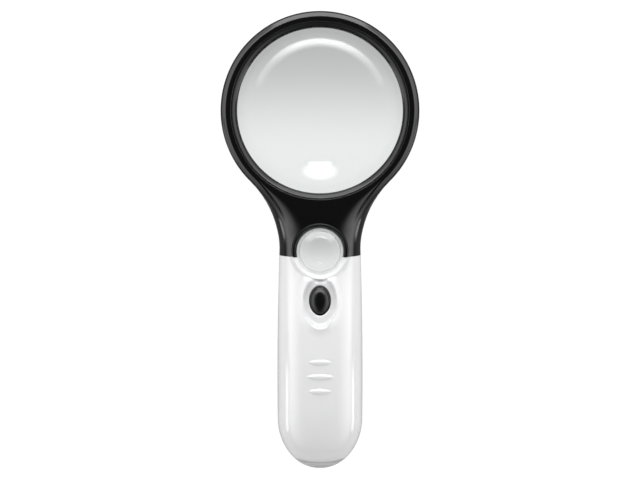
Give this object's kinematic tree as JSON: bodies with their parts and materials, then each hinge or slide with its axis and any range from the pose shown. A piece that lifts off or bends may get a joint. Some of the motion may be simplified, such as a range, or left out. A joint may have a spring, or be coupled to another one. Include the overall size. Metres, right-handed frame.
{
  "type": "low vision magnifier",
  "caption": "Hand-held low vision magnifier: round main lens in a ring head, small strong lens at the neck, handle with a push button and sliding battery cover, lights behind the neck.",
  "frame": {"origin": "centre of the bounding box in plan, at the height of the back that the object lies on", "axes": "+Z out of the front face, +Y from the handle's end towards the head, +X to the right seen from the front"},
  "size_m": [0.084, 0.1934, 0.024],
  "materials": {
    "lens_clear": "clear polished acrylic",
    "light_clear": "clear epoxy",
    "head_black": "gloss black",
    "bezel_black": "satin black",
    "handle_white": "gloss white",
    "cover_grey": "satin light grey",
    "sleeve_white": "matt white",
    "button_black": "satin black",
    "board_green": "solder mask",
    "resistor_beige": "lacquer",
    "switch_black": "matt",
    "plunger_ivory": "matt",
    "spring_steel": "bright wire",
    "contact_nickel": "nickel plate",
    "cell_jacket": "shrink jacket",
    "wire_red": "jacket",
    "wire_orange": "jacket",
    "wire_black": "jacket",
    "screw_steel": "zinc plate"
  },
  "bodies": {
    "housing": {"main_lens": "lens_clear", "small_lens": "lens_clear", "lens_bezel": "bezel_black", "head_front": "head_black", "head_rear": "head_black", "loupe_sleeve": "sleeve_white", "handle_front": "handle_white", "handle_rear": "handle_white", "light_board": "board_green", "switch_board": "board_green", "light_left": "light_clear", "light_middle": "light_clear", "light_right": "light_clear", "light_resistor": "resistor_beige", "switch_body": "switch_black", "switch_spring": "spring_steel", "battery_spring_left": "spring_steel", "battery_spring_middle": "spring_steel", "battery_spring_right": "spring_steel", "cell_left": "cell_jacket", "cell_middle": "cell_jacket", "cell_right": "cell_jacket", "contact_positive": "contact_nickel", "contact_negative": "contact_nickel", "contact_bridge_upper": "contact_nickel", "contact_bridge_lower": "contact_nickel", "battery_wire": "wire_red", "light_wire": "wire_orange", "return_wire": "wire_black", "head_screw_left": "screw_steel", "head_screw_right": "screw_steel", "handle_screw_left": "screw_steel", "handle_screw_right": "screw_steel"},
    "button": {"power_button": "button_black", "switch_plunger": "plunger_ivory"},
    "cover": {"battery_cover": "cover_grey"}
  },
  "joints": [
    {"name": "power_button_press", "type": "slide", "parent": "housing", "child": "button", "axis": [0, 0, -1], "range_m": [0, 0.0015], "stiffness_N_per_m": 800, "deforming": ["switch_spring"]},
    {"name": "battery_cover_slide", "type": "slide", "parent": "housing", "child": "cover", "axis": [0, -1, 0], "range_m": [0, 0.072]}
  ]
}
